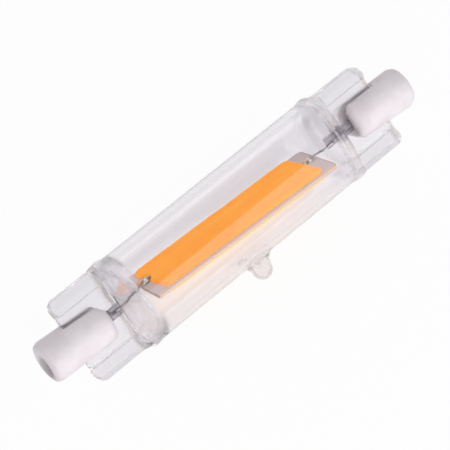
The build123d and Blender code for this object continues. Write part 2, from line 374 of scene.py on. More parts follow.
class ShaderTree:
    """The node tree of a new material or world, with one method that adds any node."""

    def __init__(self, name: str, shelf: bpy.types.bpy_prop_collection | None = None) -> None:
        """Start an empty tree.

        Args:
            name: the material's or world's name.
            shelf: the file's worlds for a world, or nothing for a material.
        """
        self.owner = (bpy.data.materials if shelf is None else shelf).new(name)
        self.owner.use_nodes = True
        self.tree = self.owner.node_tree
        self.tree.nodes.clear()

    def add(self, kind: str, settings: dict | None = None, inputs: dict | None = None) -> bpy.types.Node:
        """Add a node.

        Args:
            kind: the node's type.
            settings: its own settings.
            inputs: values or links by socket name or number.

        Returns:
            The node.
        """
        node = self.tree.nodes.new(kind)
        for key, value in (settings or {}).items():
            setattr(node, key, value)
        for key, value in (inputs or {}).items():
            socket = node.inputs[key]
            if isinstance(value, Value):
                self.tree.links.new(value.socket, socket)
            elif socket.type == "RGBA" and isinstance(value, tuple):
                socket.default_value = (*value, 1.0)
            else:
                socket.default_value = value
        return node

    def out(self, node: bpy.types.Node, name: str | int = 0) -> Value:
        """One of a node's outputs."""
        return Value(self, node.outputs[name])

    def spot(self, place: Place = Place()) -> Value:
        """Object coordinates in millimetres as a place sees them, or in the row frame."""
        inputs = {"Vector": self.out(self.add("ShaderNodeTexCoord"), "Object"), "Scale": (MM, MM, MM),
                  "Location": place.spot(), "Rotation": place.turn()}
        return self.out(self.add("ShaderNodeMapping", {"vector_type": "TEXTURE"}, inputs))

    def ray(self, kind: str) -> Value:
        """1 for rays of that kind and 0 for all others."""
        return self.out(self.add("ShaderNodeLightPath"), f"Is {kind} Ray")

    def split(self, vector: Value) -> tuple[Value, Value, Value]:
        """The three parts of a vector."""
        node = self.add("ShaderNodeSeparateXYZ", None, {0: vector})
        return self.out(node, 0), self.out(node, 1), self.out(node, 2)

    def stretch(self, vector: Value, by: Spot) -> Value:
        """A vector with each part multiplied."""
        return self.out(self.add("ShaderNodeVectorMath", {"operation": "MULTIPLY"}, {0: vector, 1: by}))

    def length(self, vector: Value) -> Value:
        """How long a vector is."""
        return self.out(self.add("ShaderNodeVectorMath", {"operation": "LENGTH"}, {0: vector}), 1)

    def noise(self, vector: Value, scale: float, detail: float = 3.0, roughness: float = 0.5) -> Value:
        """Smooth noise between 0 and 1, with about so many grains to a millimetre."""
        inputs = {"Vector": vector, "Scale": scale, "Detail": detail, "Roughness": roughness}
        return self.out(self.add("ShaderNodeTexNoise", None, inputs))

    def mix(self, factor: Value | float, first: Value | Colour, second: Value | Colour) -> Value:
        """A colour between two colours."""
        settings = {"data_type": "RGBA", "clamp_factor": True}
        return self.out(self.add("ShaderNodeMix", settings, {0: factor, 6: first, 7: second}), 2)

    def bump(self, height: Value, strength: float, distance: float) -> Value:
        """A normal pushed about by a height, of which 1 stands for that distance in millimetres."""
        inputs = {"Height": height, "Strength": strength, "Distance": distance * MM}
        return self.out(self.add("ShaderNodeBump", None, inputs))

    def principled(self, inputs: dict) -> Value:
        """A Principled shader with those inputs."""
        return self.out(self.add("ShaderNodeBsdfPrincipled", None, inputs))

    def background(self, colour: Colour, strength: float) -> Value:
        """A world's light of one colour."""
        return self.out(self.add("ShaderNodeBackground", None, {"Color": colour, "Strength": strength}))

    def either(self, factor: Value | float, first: Value, second: Value) -> Value:
        """The first shader at 0 and the second at 1."""
        return self.out(self.add("ShaderNodeMixShader", None, {0: factor, 1: first, 2: second}))

    def finish(self, surface: Value) -> Material | bpy.types.World:
        """Link a surface to the output.

        Args:
            surface: the shader that shows.

        Returns:
            The material or the world.
        """
        world = isinstance(self.owner, bpy.types.World)
        kind = "ShaderNodeOutputWorld" if world else "ShaderNodeOutputMaterial"
        self.add(kind, None, {"Surface": surface})
        return self.owner


# ---- finishes


@dataclass(frozen=True)
class ClearGlass:
    """Clear fused glass: faintly lilac, with pressed ripples in the flat ends.

    Where the glass is thick, on the slopes, in the pinches and in the pip, part of the light passes straight
    on, so that the edges show as soft grey lines. In the middle of a pinch less of it does.
    """

    tint: Colour = (0.972, 0.962, 0.980)
    pressed_tint: Colour = (0.950, 0.940, 0.972)
    shadow_tint: Colour = (0.93, 0.92, 0.935)
    ior: float = 1.46
    press_start: float = 21.0
    press_end: float = 24.5
    thick_start: float = 19.8
    thick_clear: float = 0.42
    middle: Pair = (1.5, 4.5)
    middle_share: float = 0.35
    press_haze: float = 0.06
    pip_start: float = 7.0
    pip_end: float = 7.7
    pip_length: float = 4.6
    pip_clear: float = 0.6

    def material(self) -> Material:
        """Glass that lets the lamps through to what lies inside it.

        Returns:
            The material.
        """
        t = ShaderTree("clear_glass")
        spot = t.spot(REST)
        x, y, _ = t.split(spot)
        pressed = x.size().rise(self.press_start, self.press_end)
        by_pip = x.size().rise(self.pip_length, self.pip_length - 1.0)
        pip = y.rise(-self.pip_start, -self.pip_end) * by_pip
        streaks = t.noise(t.stretch(spot, (0.25, 1.0, 1.0)), 0.5, 2.0)
        ripple = t.noise(spot, 0.8, 2.0)
        glass = t.principled({
            "Base Color": t.mix(pressed, self.tint, self.pressed_tint),
            "Roughness": ripple * pressed * self.press_haze,
            "IOR": self.ior,
            "Transmission Weight": 1.0,
            "Normal": t.bump(streaks * 0.35 + ripple * (pressed * 1.2 + 0.05), 0.4, 0.1),
        })
        clear = t.out(t.add("ShaderNodeBsdfTransparent", None, {"Color": self.shadow_tint}))
        through = t.ray("Shadow").larger(t.ray("Diffuse"))
        aside = y.size().rise(*self.middle).lifted(self.middle_share)
        thick = x.size().rise(self.thick_start, self.press_start) * aside
        through = through.larger(thick * self.thick_clear).larger(pip * self.pip_clear)
        return t.finish(t.either(through, glass, clear))


@dataclass(frozen=True)
class Ceramic:
    """White unglazed ceramic with a fine tooth, soft clouds, faint specks, and painted shade darkening the
    recess in each cap's outer end.
    """

    pale: Colour = (0.81, 0.765, 0.775)
    shade: Colour = (0.74, 0.69, 0.705)
    # Colour of the random specks, also used for the painted shade in the end recesses.
    speck_and_shade: Colour = (0.50, 0.46, 0.46)
    # Where the painted shade in each cap's end recess lies, and how strong it is.
    recess_start: float = 37.2
    recess_radius: float = 2.25
    recess_painted_shade: float = 0.6
    speck_share: float = 0.35

    def material(self) -> Material:
        """Matt pale ceramic.

        Returns:
            The material.
        """
        t = ShaderTree("white_ceramic")
        spot = t.spot(REST)
        cloud = t.noise(spot, 0.3, 3.0)
        grain = t.noise(spot, 7.0, 4.0, 0.65)
        outer = t.split(spot)[0].size().rise(self.recess_start, self.recess_start + 0.3)
        across = t.length(t.stretch(spot, (0.0, 1.0, 1.0)))
        # Painted shade: the recess in each cap's outer end is darkened towards the speck colour.
        recess_shade = outer * across.rise(self.recess_radius + 0.25, self.recess_radius)
        soil = t.noise(spot, 2.6, 2.0).rise(0.70, 0.76) * self.speck_share
        colour = t.mix(cloud.rise(0.35, 0.7), self.pale, self.shade)
        return t.finish(t.principled({
            "Base Color": t.mix(soil.larger(recess_shade * self.recess_painted_shade), colour, self.speck_and_shade),
            "Roughness": grain * 0.2 + 0.5,
            "Specular IOR Level": 0.35,
            "Normal": t.bump(grain + cloud * 3.0, 0.5, 0.03),
        }))


@dataclass(frozen=True)
class Phosphor:
    """Orange phosphor in silicone. Its own glow stands in for the light that the real coat gives back."""

    name: str
    deep: Colour = (1.0, 0.34, 0.008)
    light: Colour = (1.0, 0.42, 0.025)
    grain_colour: Colour = (1.0, 0.50, 0.06)
    glow: Colour = (1.0, 0.30, 0.0)
    glow_strength: float = 0.42
    grain_share: float = 0.35

    def material(self) -> Material:
        """Filled silicone coat, streaked along the strip.

        Returns:
            The material.
        """
        t = ShaderTree(self.name)
        spot = t.spot(BOARD)
        cloud = t.noise(t.stretch(spot, (0.3, 1.0, 1.0)), 0.5, 3.0)
        grain = t.noise(spot, 11.0, 3.0, 0.7)
        colour = t.mix(cloud.rise(0.3, 0.7), self.deep, self.light)
        return t.finish(t.principled({
            "Base Color": t.mix(grain.rise(0.58, 0.75) * self.grain_share, colour, self.grain_colour),
            "Roughness": grain * 0.15 + 0.38,
            "Specular IOR Level": 0.1,
            "Emission Color": self.glow,
            "Emission Strength": self.glow_strength,
            "Normal": t.bump(grain + cloud * 4.0, 0.4, 0.03),
        }))


@dataclass(frozen=True)
class Substrate:
    """Thin ceramic strip, mauve, with brown cut edges and warm clouds, and painted warm light along its lower
    side and lower cut edge, standing in for the coats' light shining through the strip.
    """

    body: Colour = (0.76, 0.62, 0.59)
    warm: Colour = (0.93, 0.68, 0.50)
    edge: Colour = (0.33, 0.15, 0.085)
    edge_width: float = 0.10
    # Where the painted warm light along the lower side begins and is full, and how strong it is.
    glow_from: float = 4.6
    glow_full: float = 5.1
    glow_share: float = 0.9
    cloud_share: float = 0.4
    edge_share: float = 0.9
    # How much of the brown edge stays on the lower cut edge, where painted warm light shows instead.
    glow_edge_share: float = 0.3
    ragged: float = 0.06

    def material(self) -> Material:
        """Pale mauve strip.

        Returns:
            The material.
        """
        t = ShaderTree("strip_ceramic")
        spot = t.spot(BOARD)
        x, y, _ = t.split(spot)
        half_length, half_width = LAYOUT.board_length / 2, LAYOUT.board_width / 2
        wander = t.noise(spot, 1.2, 3.0) * self.ragged
        sides = (y.size() + wander).rise(half_width - 2 * self.edge_width, half_width)
        # On the lower side the brown edge gives way to the warm colour: painted light of the coats shining
        # through the strip.
        sides = sides * y.rise(-1.0, 1.0).lifted(self.glow_edge_share)
        tips = (x.size() + wander).rise(half_length - 2 * self.edge_width, half_length)
        cloud = t.noise(spot, 0.6, 3.0)
        grain = t.noise(spot, 8.0, 3.0)
        # Warm clouds at random, and painted warm light along the lower side.
        low = y.rise(-self.glow_from, -self.glow_full)
        stain = (cloud.rise(0.4, 0.7) * self.cloud_share).larger(low * self.glow_share)
        colour = t.mix(stain, self.body, self.warm)
        return t.finish(t.principled({
            "Base Color": t.mix(sides.larger(tips) * self.edge_share, colour, self.edge),
            "Roughness": grain * 0.2 + 0.3,
            "Normal": t.bump(grain, 0.3, 0.01),
        }))


class Metal(Enum):
    """The lamp's metals: colour, darker stain, roughness and how deep the drawn lines are."""

    WIRE = ((0.42, 0.39, 0.40), (0.16, 0.13, 0.13), 0.35, 0.6)
    SOLDER = ((0.62, 0.60, 0.58), (0.20, 0.15, 0.13), 0.22, 0.2)
    BUTTON = ((0.66, 0.65, 0.66), (0.38, 0.36, 0.36), 0.30, 0.3)
    PAD = ((0.66, 0.60, 0.48), (0.40, 0.34, 0.26), 0.35, 0.2)


@dataclass(frozen=True)
class MetalFinish:
    """A drawn or melted metal with stains and streaks."""

    kind: Metal

    def material(self) -> Material:
        """Metal with streaks along the lamp.

        Returns:
            The material.
        """
        bright, stain, rough, lines = self.kind.value
        t = ShaderTree("metal_" + self.kind.name.lower())
        spot = t.spot()
        drawn = t.noise(t.stretch(spot, (0.5, 6.0, 6.0)), 2.0, 3.0)
        cloud = t.noise(spot, 1.6, 3.0)
        return t.finish(t.principled({
            "Base Color": t.mix(cloud.rise(0.38, 0.62), bright, stain),
            "Metallic": 1.0,
            "Roughness": drawn * 0.2 + rough,
            "Normal": t.bump(drawn * lines + cloud * 0.5, 0.5, 0.03),
        }))


@dataclass(frozen=True)
class RibbonFinish:
    """Rolled grey ribbon with bright and dark lines along it, dark marks where wires are welded on, and
    painted shade on its outer part, where the cap's shadow falls.
    """

    end: End
    # How strong the painted shade on the ribbon's outer part is.
    outer_shade: float
    bright: Colour = (0.50, 0.47, 0.51)
    middle: Colour = (0.22, 0.20, 0.22)
    dark: Colour = (0.045, 0.04, 0.05)
    weld: float = 24.9
    weld_side: float = -0.25
    weld_shade: float = 0.8
    # Where the painted shade on the outer part begins and is full.
    shade_start: float = 25.8
    shade_full: float = 26.2

    def material(self) -> Material:
        """Streaked metal.

        Returns:
            The material.
        """
        t = ShaderTree("ribbon_" + self.end.label)
        spot = t.spot(LAYOUT.end(self.end))
        x, y, _ = t.split(spot)
        lines = t.noise(t.stretch(spot, (0.25, 3.2, 1.0)), 1.3, 3.0, 0.6)
        blotch = t.noise(spot, 1.7, 2.0)
        colour = t.mix(lines.rise(0.42, 0.66), self.middle, self.bright)
        # Painted shade: the ribbon's outer part, under the cap, is darkened.
        outer = (x + blotch * 0.8).rise(self.shade_start, self.shade_full)
        colour = t.mix(outer * self.outer_shade, colour, self.dark)
        mark = (x - self.weld).size().rise(0.75, 0.35) * (y - self.weld_side).size().rise(0.5, 0.2)
        colour = t.mix(mark * self.weld_shade, colour, self.dark)
        return t.finish(t.principled({
            "Base Color": colour,
            "Metallic": 0.85,
            "Roughness": blotch * 0.25 + 0.35,
            "Normal": t.bump(lines + blotch * 0.6, 0.6, 0.04),
        }))


@dataclass(frozen=True)
class Grainy:
    """Cement or die: matt and grainy, in two tones."""

    name: str
    first: Colour
    second: Colour
    roughness: float

    def material(self) -> Material:
        """Matt grainy stuff.

        Returns:
            The material.
        """
        t = ShaderTree(self.name)
        grain = t.noise(t.spot(), 5.0, 4.0, 0.7)
        return t.finish(t.principled({
            "Base Color": t.mix(grain.rise(0.35, 0.7), self.first, self.second),
            "Roughness": grain * 0.15 + self.roughness,
            "Normal": t.bump(grain, 0.5, 0.02),
        }))


# ---- the glass


@dataclass(frozen=True)
class Envelope:
    """The sealed glass: a tube, melted down at both ends into flat pinches, with a pip on its side."""

    radius: float = LAYOUT.tube_radius
    wall: float = 1.0
    pinch_half: float = 7.8
    pinch_shift: float = 0.22
    web_half: float = 1.2
    press_run: float = 1.7
    swell: float = 0.4
    swell_at: float = 22.5
    swell_height: Pair = (0.15, 0.5)
    rim_half: float = 2.1
    rim_width: float = 2.4
    rim_edge: float = 1.3
    rim_blend: Pair = (-0.5, 0.8)
    rim_onset: Pair = (21.8, 24.0)
    corner: float = 1.4
    end_round: float = 0.7
    top_melt: float = 3.2
    root_melt: float = 2.0
    seal_wall: float = 1.1
    cavity_tip: float = 0.9
    cavity_round: float = 0.9
    cavity_draw: float = 1.2
    cavity_melt: float = 2.6
    tip_melt: float = 0.4
    pip_flare: float = 1.9
    pip_settle: float = 1.7
    bore_radius: float = 1.1
    bore_tip: float = 0.35
    bore_reach: float = 9.4
    bore_flare: float = 0.5

    def slope(self) -> float:
        """How far along the tube the press runs for each millimetre of height."""
        return self.press_run / (self.radius - self.web_half)

    def stations(self, end: float, corner: float) -> np.ndarray:
        """Places along the tube, closer together at the pip, on the slopes and at the end.

        Args:
            end: how far the last place is from the middle.
            corner: length of the rounding at the end.

        Returns:
            The places, the same on both sides of the middle.
        """
        last = end - corner
        knee = min(25.2, last)
        pip, tube, bend = (0.0, 4.2, 26), (4.2, 19.6, 13), (19.6, 21.0, 5)
        half = spread(pip, tube, bend, (21.0, knee, 36), (knee, last, 8))
        tip = end - corner * (1.0 - np.sin(np.linspace(0.0, math.pi / 2, 10)))
        half = np.unique(np.concatenate([half, tip]).round(6))
        return np.concatenate([-half[:0:-1], half])

    def angles(self) -> np.ndarray:
        """Angles round the section from the pip's side, closer together there and at the pinch's edges.

        Returns:
            The angles, mirrored across the pinch.
        """
        quarter = spread((0.0, 4.0, 4), (4.0, 32.0, 23), (32.0, 90.0, 20))
        half = np.concatenate([quarter, 180.0 - quarter[-2::-1]])
        return np.radians(np.concatenate([half, half[1:-1] + 180.0]) + 180.0)

    def faded(self, blend: float, height: np.ndarray) -> np.ndarray:
        """A blend that fades out over the last 4 mm of height, so that both halves meet in the same line."""
        return blend * np.clip(height / 4.0, 0.02, 1.0)

    def outside(self) -> np.ndarray:
        """Grid of the outside: along the tube by round the section.

        The tube's circle is cut down by a press that slopes to the web. The pinch's own section, a web with
        thick rims, rises where the slope ends. All crossings are melted round, and the glass that the press
        drives out swells the sides of the slopes.

        Returns:
            Rows of points.
        """
        end = LAYOUT.pinch_end
        x, angle = np.meshgrid(self.stations(end, self.corner), self.angles(), indexing="ij")
        far = np.abs(x)
        up = np.abs(np.sin(angle))
        pinch = smooth_step(*self.rim_onset, far)
        drawn = quarter_drop(end - far, self.corner)
        swell = self.swell * np.exp(-(far - self.swell_at) ** 2) * (1.0 - smooth_step(*self.swell_height, up))
        y = (self.radius - (self.radius - self.pinch_half) * pinch + swell - drawn) * np.cos(angle)
        tube = self.radius * up
        press = (LAYOUT.web_start - far) / self.slope() + self.web_half
        body = soft_min(tube, press, self.faded(self.top_melt, tube))
        start, full = (self.pinch_half - self.rim_width + by for by in self.rim_blend)
        section = self.web_half + (self.rim_half - self.web_half) * smooth_step(start, full, np.abs(y))
        section = section - quarter_drop(self.pinch_half - drawn - np.abs(y), self.rim_edge)
        z = soft_max(body, section * pinch, self.root_melt * pinch + 0.001)
        z = z - quarter_drop(end - far, self.end_round)
        z = np.where(up < 1e-6, 0.0, np.clip(z, 0.0, None))
        y = y - np.sign(x) * self.pinch_shift * pinch
        grid = np.stack([x, y, np.sign(np.sin(angle)) * z], -1)
        return self.with_pip(grid, self.radius, self.pip_profile())

    def cavity(self) -> np.ndarray:
        """Grid of the sealed space inside: the bore, cut down to a wedge at both ends, and the pip's bore.

        Returns:
            Rows of points.
        """
        bore = self.radius - self.wall
        slope_wall = self.seal_wall * math.sqrt(1.0 + self.slope() ** 2)
        foot = LAYOUT.web_start + self.slope() * (self.web_half - self.cavity_tip) - slope_wall
        x, angle = np.meshgrid(self.stations(foot, self.cavity_round), self.angles(), indexing="ij")
        up = np.abs(np.sin(angle))
        drawn = quarter_drop(foot - np.abs(x), self.cavity_round)
        y = (bore - self.cavity_draw * drawn) * np.cos(angle)
        tube = bore * up
        press = (foot - np.abs(x)) / self.slope() + self.cavity_tip
        z = soft_min(tube, press, self.faded(self.cavity_melt, tube))
        z = soft_max(z, np.minimum(tube, self.cavity_tip), self.faded(self.tip_melt, tube))
        z = np.where(up < 1e-6, 0.0, z * (1.0 - drawn / self.cavity_round))
        grid = np.stack([x, y, np.sign(np.sin(angle)) * z], -1)
        return self.with_pip(grid, bore, self.bore_profile())

    def pip_profile(self) -> np.ndarray:
        """Outline of the pip, a quarter circle at its tip and another at its flare.

        Returns:
            Rows of distance from its axis and height along it.
        """
        turn = np.linspace(0.0, math.pi / 2, 25)[:, None]
        radius, reach, flare = LAYOUT.pip_radius, LAYOUT.pip_reach, self.pip_flare
        tip = np.hstack([radius * np.sin(turn), reach + radius * np.cos(turn)])
        foot = np.hstack([radius + flare * (1.0 - np.cos(turn)), self.radius + flare * (1.0 - np.sin(turn))])
        return np.concatenate([tip, foot])

    def bore_profile(self) -> np.ndarray:
        """Outline of the pip's bore, a funnel that is melted shut.

        Returns:
            Rows of distance from its axis and height along it.
        """
        turn = np.linspace(0.0, math.pi / 2, 13)[:, None]
        bore = self.radius - self.wall
        height = self.bore_reach - self.bore_tip * (1.0 - np.cos(turn))
        tip = np.hstack([self.bore_tip * np.sin(turn), height])
        foot = np.hstack([self.bore_radius + self.bore_flare * (1.0 - np.cos(turn)),
                          bore + self.bore_flare * (1.0 - np.sin(turn))])
        return np.concatenate([tip, foot])

    def with_pip(self, grid: np.ndarray, radius: float, profile: np.ndarray) -> np.ndarray:
        """Pull the grid out into the pip.

        A point at some distance from the pip's axis, measured over the tube's surface, goes to the place on
        the profile that is the same share of its length, and keeps its side of the axis. Near its foot the
        profile follows the tube's curve.

        Args:
            grid: the tube's grid.
            radius: the tube's radius on that side of the wall.
            profile: outline from the tip to the foot.

        Returns:
            The grid with the pip in it.
        """
        x, y, z = grid[..., 0], grid[..., 1], grid[..., 2]
        base = profile[-1, 0]
        arc = np.arctan2(z, -y) * radius
        distance = np.hypot(x, arc)
        steps = np.concatenate([[0.0], np.cumsum(np.hypot(*np.diff(profile, axis=0).T))])
        share = np.clip(distance / base, 0.0, 1.0) * steps[-1]
        out, high = np.interp(share, steps, profile[:, 0]), np.interp(share, steps, profile[:, 1])
        turn = np.arctan2(arc, x)
        new_x, new_z = out * np.cos(turn), out * np.sin(turn)
        curve = radius - np.sqrt(np.clip(radius ** 2 - new_z ** 2, 0.0, None))
        new_y = curve * (1.0 - smooth_step(radius, radius + self.pip_settle, high)) - high
        inside = (distance < base) & (y < 0)
        return np.where(inside[..., None], np.stack([new_x, new_y, new_z], -1), grid)

    def build(self, glass: Material) -> None:
        """The whole envelope as one piece of glass with its sealed cavity."""
        skin = Skin().closed(self.outside()).closed(self.cavity(), flip=True)
        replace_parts(skin.piece("glass_body", REST).shown(glass, "glass", 60.0), "glass_envelope")


# ---- what lies inside the glass


@dataclass(frozen=True)
class Ribbon:
    """A rolled metal ribbon sealed in a pinch, thin at its long edges and not quite straight."""

    end: End
    start: float
    thickness: float = 0.12
    wander: Pair = (0.03, 0.02)
    warp: float = 0.012

    def build(self, material: Material) -> None:
        """A section along the seal, powers of a sine and a cosine, whose edges wander in two slow waves.

        Args:
            material: its finish.
        """
        x = np.linspace(self.start, LAYOUT.foil_end, 90)[:, None]
        turn = np.linspace(0.0, 2.0 * math.pi, 41)[None, :-1]
        seed = 1.0 + self.end.sign
        long, short = self.wander
        half = LAYOUT.foil_width / 2 + long * np.sin(x * 2.9 + seed) + short * np.sin(x * 7.1 + 2.0 * seed)
        y = half * np.sign(np.cos(turn)) * np.abs(np.cos(turn)) ** 0.45 - LAYOUT.foil_side
        z = self.thickness / 2 * np.sign(np.sin(turn)) * np.abs(np.sin(turn)) ** 0.7
        grid = np.stack(np.broadcast_arrays(x, y, z + self.warp * np.sin(x * 3.7 + 5.0 * y)), -1)
        place = LAYOUT.end(self.end)
        piece = Skin().closed(grid).piece("ribbon_" + self.end.label, place).shown(material, "foil", 60.0)
        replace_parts(piece, "seal_foil_" + self.end.label)


@dataclass(frozen=True)
class Lead:
    """The thin wire from the ribbon to the strip, with the small kinks of a wire bent by hand."""

    end: End
    ribbon_start: float
    side: float
    radius: float = 0.19
    height: float = 0.25
    weld: float = 1.5
    bend: float = 0.5
    kink: float = 0.03
    joint_height: float = 0.75
    flat: float = 0.35

    def route(self) -> np.ndarray:
        """The wire's middle line: from its weld to its bend and its joint, evened out, with small sine kinks.

        Returns:
            Rows of points.
        """
        sign = self.end.sign
        to_pinch = Place(np.linalg.inv(REST.matrix) @ BOARD.matrix)
        joint = np.append(LAYOUT.pad(self.end), self.joint_height)
        weld = np.array([sign * (self.ribbon_start + self.weld), self.side, self.height])
        bend = np.array([sign * (self.ribbon_start - self.bend), self.side, self.height])
        t = np.linspace(0.0, 1.0, 80)[:, None]
        line = np.concatenate([weld + (bend - weld) * t, bend + (to_pinch.apply(joint) - bend) * t[1:]])
        for _ in range(24):
            line[1:-1] = 0.25 * line[:-2] + 0.5 * line[1:-1] + 0.25 * line[2:]
        s = np.linspace(0.0, 1.0, len(line))
        hump = self.kink * smooth_step(0.4, 0.6, s) * (1.0 - smooth_step(0.9, 1.0, s))
        line[:, 1] += hump * np.sin(s * 41.0)
        line[:, 2] += hump * np.sin(s * 33.0 + 1.0)
        return line

    def build(self, material: Material) -> None:
        """A round tube along the route, flattened at its weld.

        Args:
            material: its finish.
        """
        line = self.route()
        along = np.gradient(line, axis=0)
        along /= np.linalg.norm(along, axis=1, keepdims=True)
        side = np.cross(along, [0.0, 0.0, 1.0])
        side /= np.linalg.norm(side, axis=1, keepdims=True)
        up = np.cross(side, along)
        s = np.linspace(0.0, 1.0, len(line))[:, None, None]
        turn = np.linspace(0.0, 2.0 * math.pi, 17)[None, :-1, None]
        tip = np.sqrt(1.0 - np.clip(1.0 - np.minimum(s, 1.0 - s) / 0.01, 0.0, 1.0) ** 2)
        press = 1.0 - self.flat * (1.0 - smooth_step(0.25, 0.4, s))
        offset = side[:, None] * np.cos(turn) / press + up[:, None] * np.sin(turn) * press
        skin = Skin().grid(line[:, None] + self.radius * tip * offset, flip=True)
        piece = skin.piece("lead_wire_" + self.end.label, REST).shown(material, "lead")
        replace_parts(piece, "inner_lead_" + self.end.label)


@dataclass(frozen=True)
class Bead:
    """A bead of solder that has run out over its pad."""

    end: End
    half_length: float
    half_width: float
    height: float
    turn: float
    sunk: float = 0.1
    uneven: float = 0.06

    def build(self, material: Material) -> None:
        """Half an ellipsoid with a shallow underside, made uneven by slow waves.

        Args:
            material: its finish.
        """
        tilt = np.linspace(0.0, math.pi, 33)[:, None]
        turn = np.linspace(0.0, 2.0 * math.pi, 49)[None, :-1]
        x = self.half_length * np.sin(tilt) * np.cos(turn)
        y = self.half_width * np.sin(tilt) * np.sin(turn)
        z = np.cos(tilt) * np.where(np.cos(tilt) > 0, self.height, self.sunk)
        grid = np.stack(np.broadcast_arrays(x, y, z), -1)
        grid = grid * (1.0 + self.uneven * waves(grid, 1.6, 2.0 + self.end.sign)[..., None])
        lift = LAYOUT.board_thickness / 2 + self.sunk
        spot = Place().turned("Z", self.turn).moved(*LAYOUT.pad(self.end), lift)
        piece = Skin().grid(grid, flip=True).piece("solder_bead_" + self.end.label, spot.inside(BOARD))
        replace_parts(piece.shown(material, "solder"), "solder_joint_" + self.end.label)


@dataclass(frozen=True)
class FrontCoat:
    """The poured phosphor on the front of the strip: slanted ends, soft edges and a faint crown."""

    left: float = 5.45
    right: float = -4.95
    near: float = -17.7
    near_slant: float = 1.3
    far: float = 15.6
    far_slant: float = 0.9
    height: float = 0.7
    edge: float = 0.5
    middle_side: float = 0.25
    crown: float = 0.10
    crown_half: float = 5.0
    solder_dip: Pair = (0.55, 1.25)
    sunk: float = 0.02
    spacing: float = 0.5
    corners: tuple[float, ...] = (1.5, 0.7, 0.9, 0.9)

    def outline(self) -> np.ndarray:
        """The coat's outline, turning left: an arc at each corner, with points evenly spread between them.

        Returns:
            Rows of a point's x and y and of the inward direction's x and y.
        """
        spots = np.array([(self.near, self.left), (self.near + self.near_slant, self.right),
                          (self.far + self.far_slant, self.right), (self.far, self.left)])
        arcs = []
        for k, radius in enumerate(self.corners):
            here = spots[k]
            back, on = ((s - here) / np.linalg.norm(s - here) for s in (spots[k - 1], spots[(k + 1) % 4]))
            half = math.acos(float(back @ on)) / 2
            middle = here + (back + on) / np.linalg.norm(back + on) * radius / math.sin(half)
            start, stop = (here + v * radius / math.tan(half) - middle for v in (back, on))
            first = math.atan2(start[1], start[0])
            sweep = (math.atan2(stop[1], stop[0]) - first) % (2.0 * math.pi)
            turn = first + sweep * np.linspace(0.0, 1.0, 13)[:, None]
            out = np.hstack([np.cos(turn), np.sin(turn)])
            arcs.append(np.hstack([middle + radius * out, -out]))
        corner = np.concatenate(arcs)
        step = np.roll(corner, -1, axis=0) - corner
        counts = np.maximum(1, (np.linalg.norm(step[:, :2], axis=1) / self.spacing).astype(int))
        which = np.repeat(np.arange(len(corner)), counts)
        first = np.repeat(np.cumsum(counts) - counts, counts)
        share = (np.arange(len(which)) - first) / counts[which]
        return corner[which] + step[which] * share[:, None]

    def build(self, material: Material) -> None:
        """Rings from the outline inwards: up over the soft edge, then in to the middle.

        Args:
            material: its finish.
        """
        outline = self.outline()
        base, inward = outline[:, :2], outline[:, 2:]
        inward = inward / np.linalg.norm(inward, axis=1, keepdims=True)
        t = np.linspace(0.0, math.pi / 2, 9)[:, None, None]
        edge = base + inward * self.edge * (1.0 - np.cos(t))
        inner, middle = edge[-1], np.array([(self.near + self.far) / 2, self.middle_side])
        share = np.linspace(0.0, 1.0, 25)[1:, None, None]
        xy = np.concatenate([edge, inner + (middle - inner) * share])
        rise = self.height - self.edge + self.edge * np.sin(t)
        high = np.concatenate([rise, np.full_like(share, self.height)])[..., 0]
        aside = np.abs(xy[..., 1] - self.middle_side) / self.crown_half
        z = high - self.crown * aside ** 2 * smooth_step(0.25, 0.6, high)
        for end in End:
            z = z * smooth_step(*self.solder_dip, np.linalg.norm(xy - LAYOUT.pad(end), axis=-1))
        lift = LAYOUT.board_thickness / 2
        top = np.concatenate([xy, (z + lift)[..., None]], -1)
        foot = np.concatenate([base, np.full((len(base), 1), lift - self.sunk)], -1)
        centre = foot.mean(axis=0) + 0.0 * foot
        skin = Skin().grid(np.concatenate([centre[None], foot[None], top]))
        piece = skin.piece("phosphor_slab", BOARD).shown(material, "phosphor", 75.0)
        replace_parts(piece, "phosphor_front")


@dataclass(frozen=True)
class Cap:
    """A ceramic cap: the CAD solid with its eased edges shaded smooth."""

    end: End
    crisp: float = 46.0
    join: float = 0.002

    def build(self, material: Material) -> None:
        """Copy the solid's mesh, join its triangles and shade it.

        Args:
            material: its finish.
        """
        node = "ceramic_cap_" + self.end.label
        piece = Piece("cap_" + self.end.label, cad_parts[node].data.copy())
        piece.mesh.materials.clear()
        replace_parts(piece.joined(self.join).shown(material, "ceramic", self.crisp), node)


# ---- the studio


@dataclass(frozen=True)
class Panel:
    """A soft box along the lamp, between a lower and an upper edge given as y and z in millimetres."""

    name: str
    low: Pair
    high: Pair
    radiance: float
    width: float = 1600.0

    def build(self) -> None:
        """Hang it facing the lamp, as bright as its radiance says, where 1 is white."""
        low, high = (Vector((0.0, *edge)) * MM for edge in (self.low, self.high))
        rise = high - low
        data = bpy.data.lights.new(self.name, "AREA")
        data.shape = "RECTANGLE"
        data.size, data.size_y = self.width * MM, rise.length
        data.energy = self.radiance * math.pi * data.size * data.size_y
        light = bpy.data.objects.new(self.name, data)
        light.location = (low + high) / 2
        facing = Vector((1.0, 0.0, 0.0)).cross(rise).normalized()
        if facing.dot(light.location) > 0:
            facing = -facing
        light.rotation_euler = facing.to_track_quat("-Z", "Y").to_euler()
        bpy.context.scene.collection.objects.link(light)


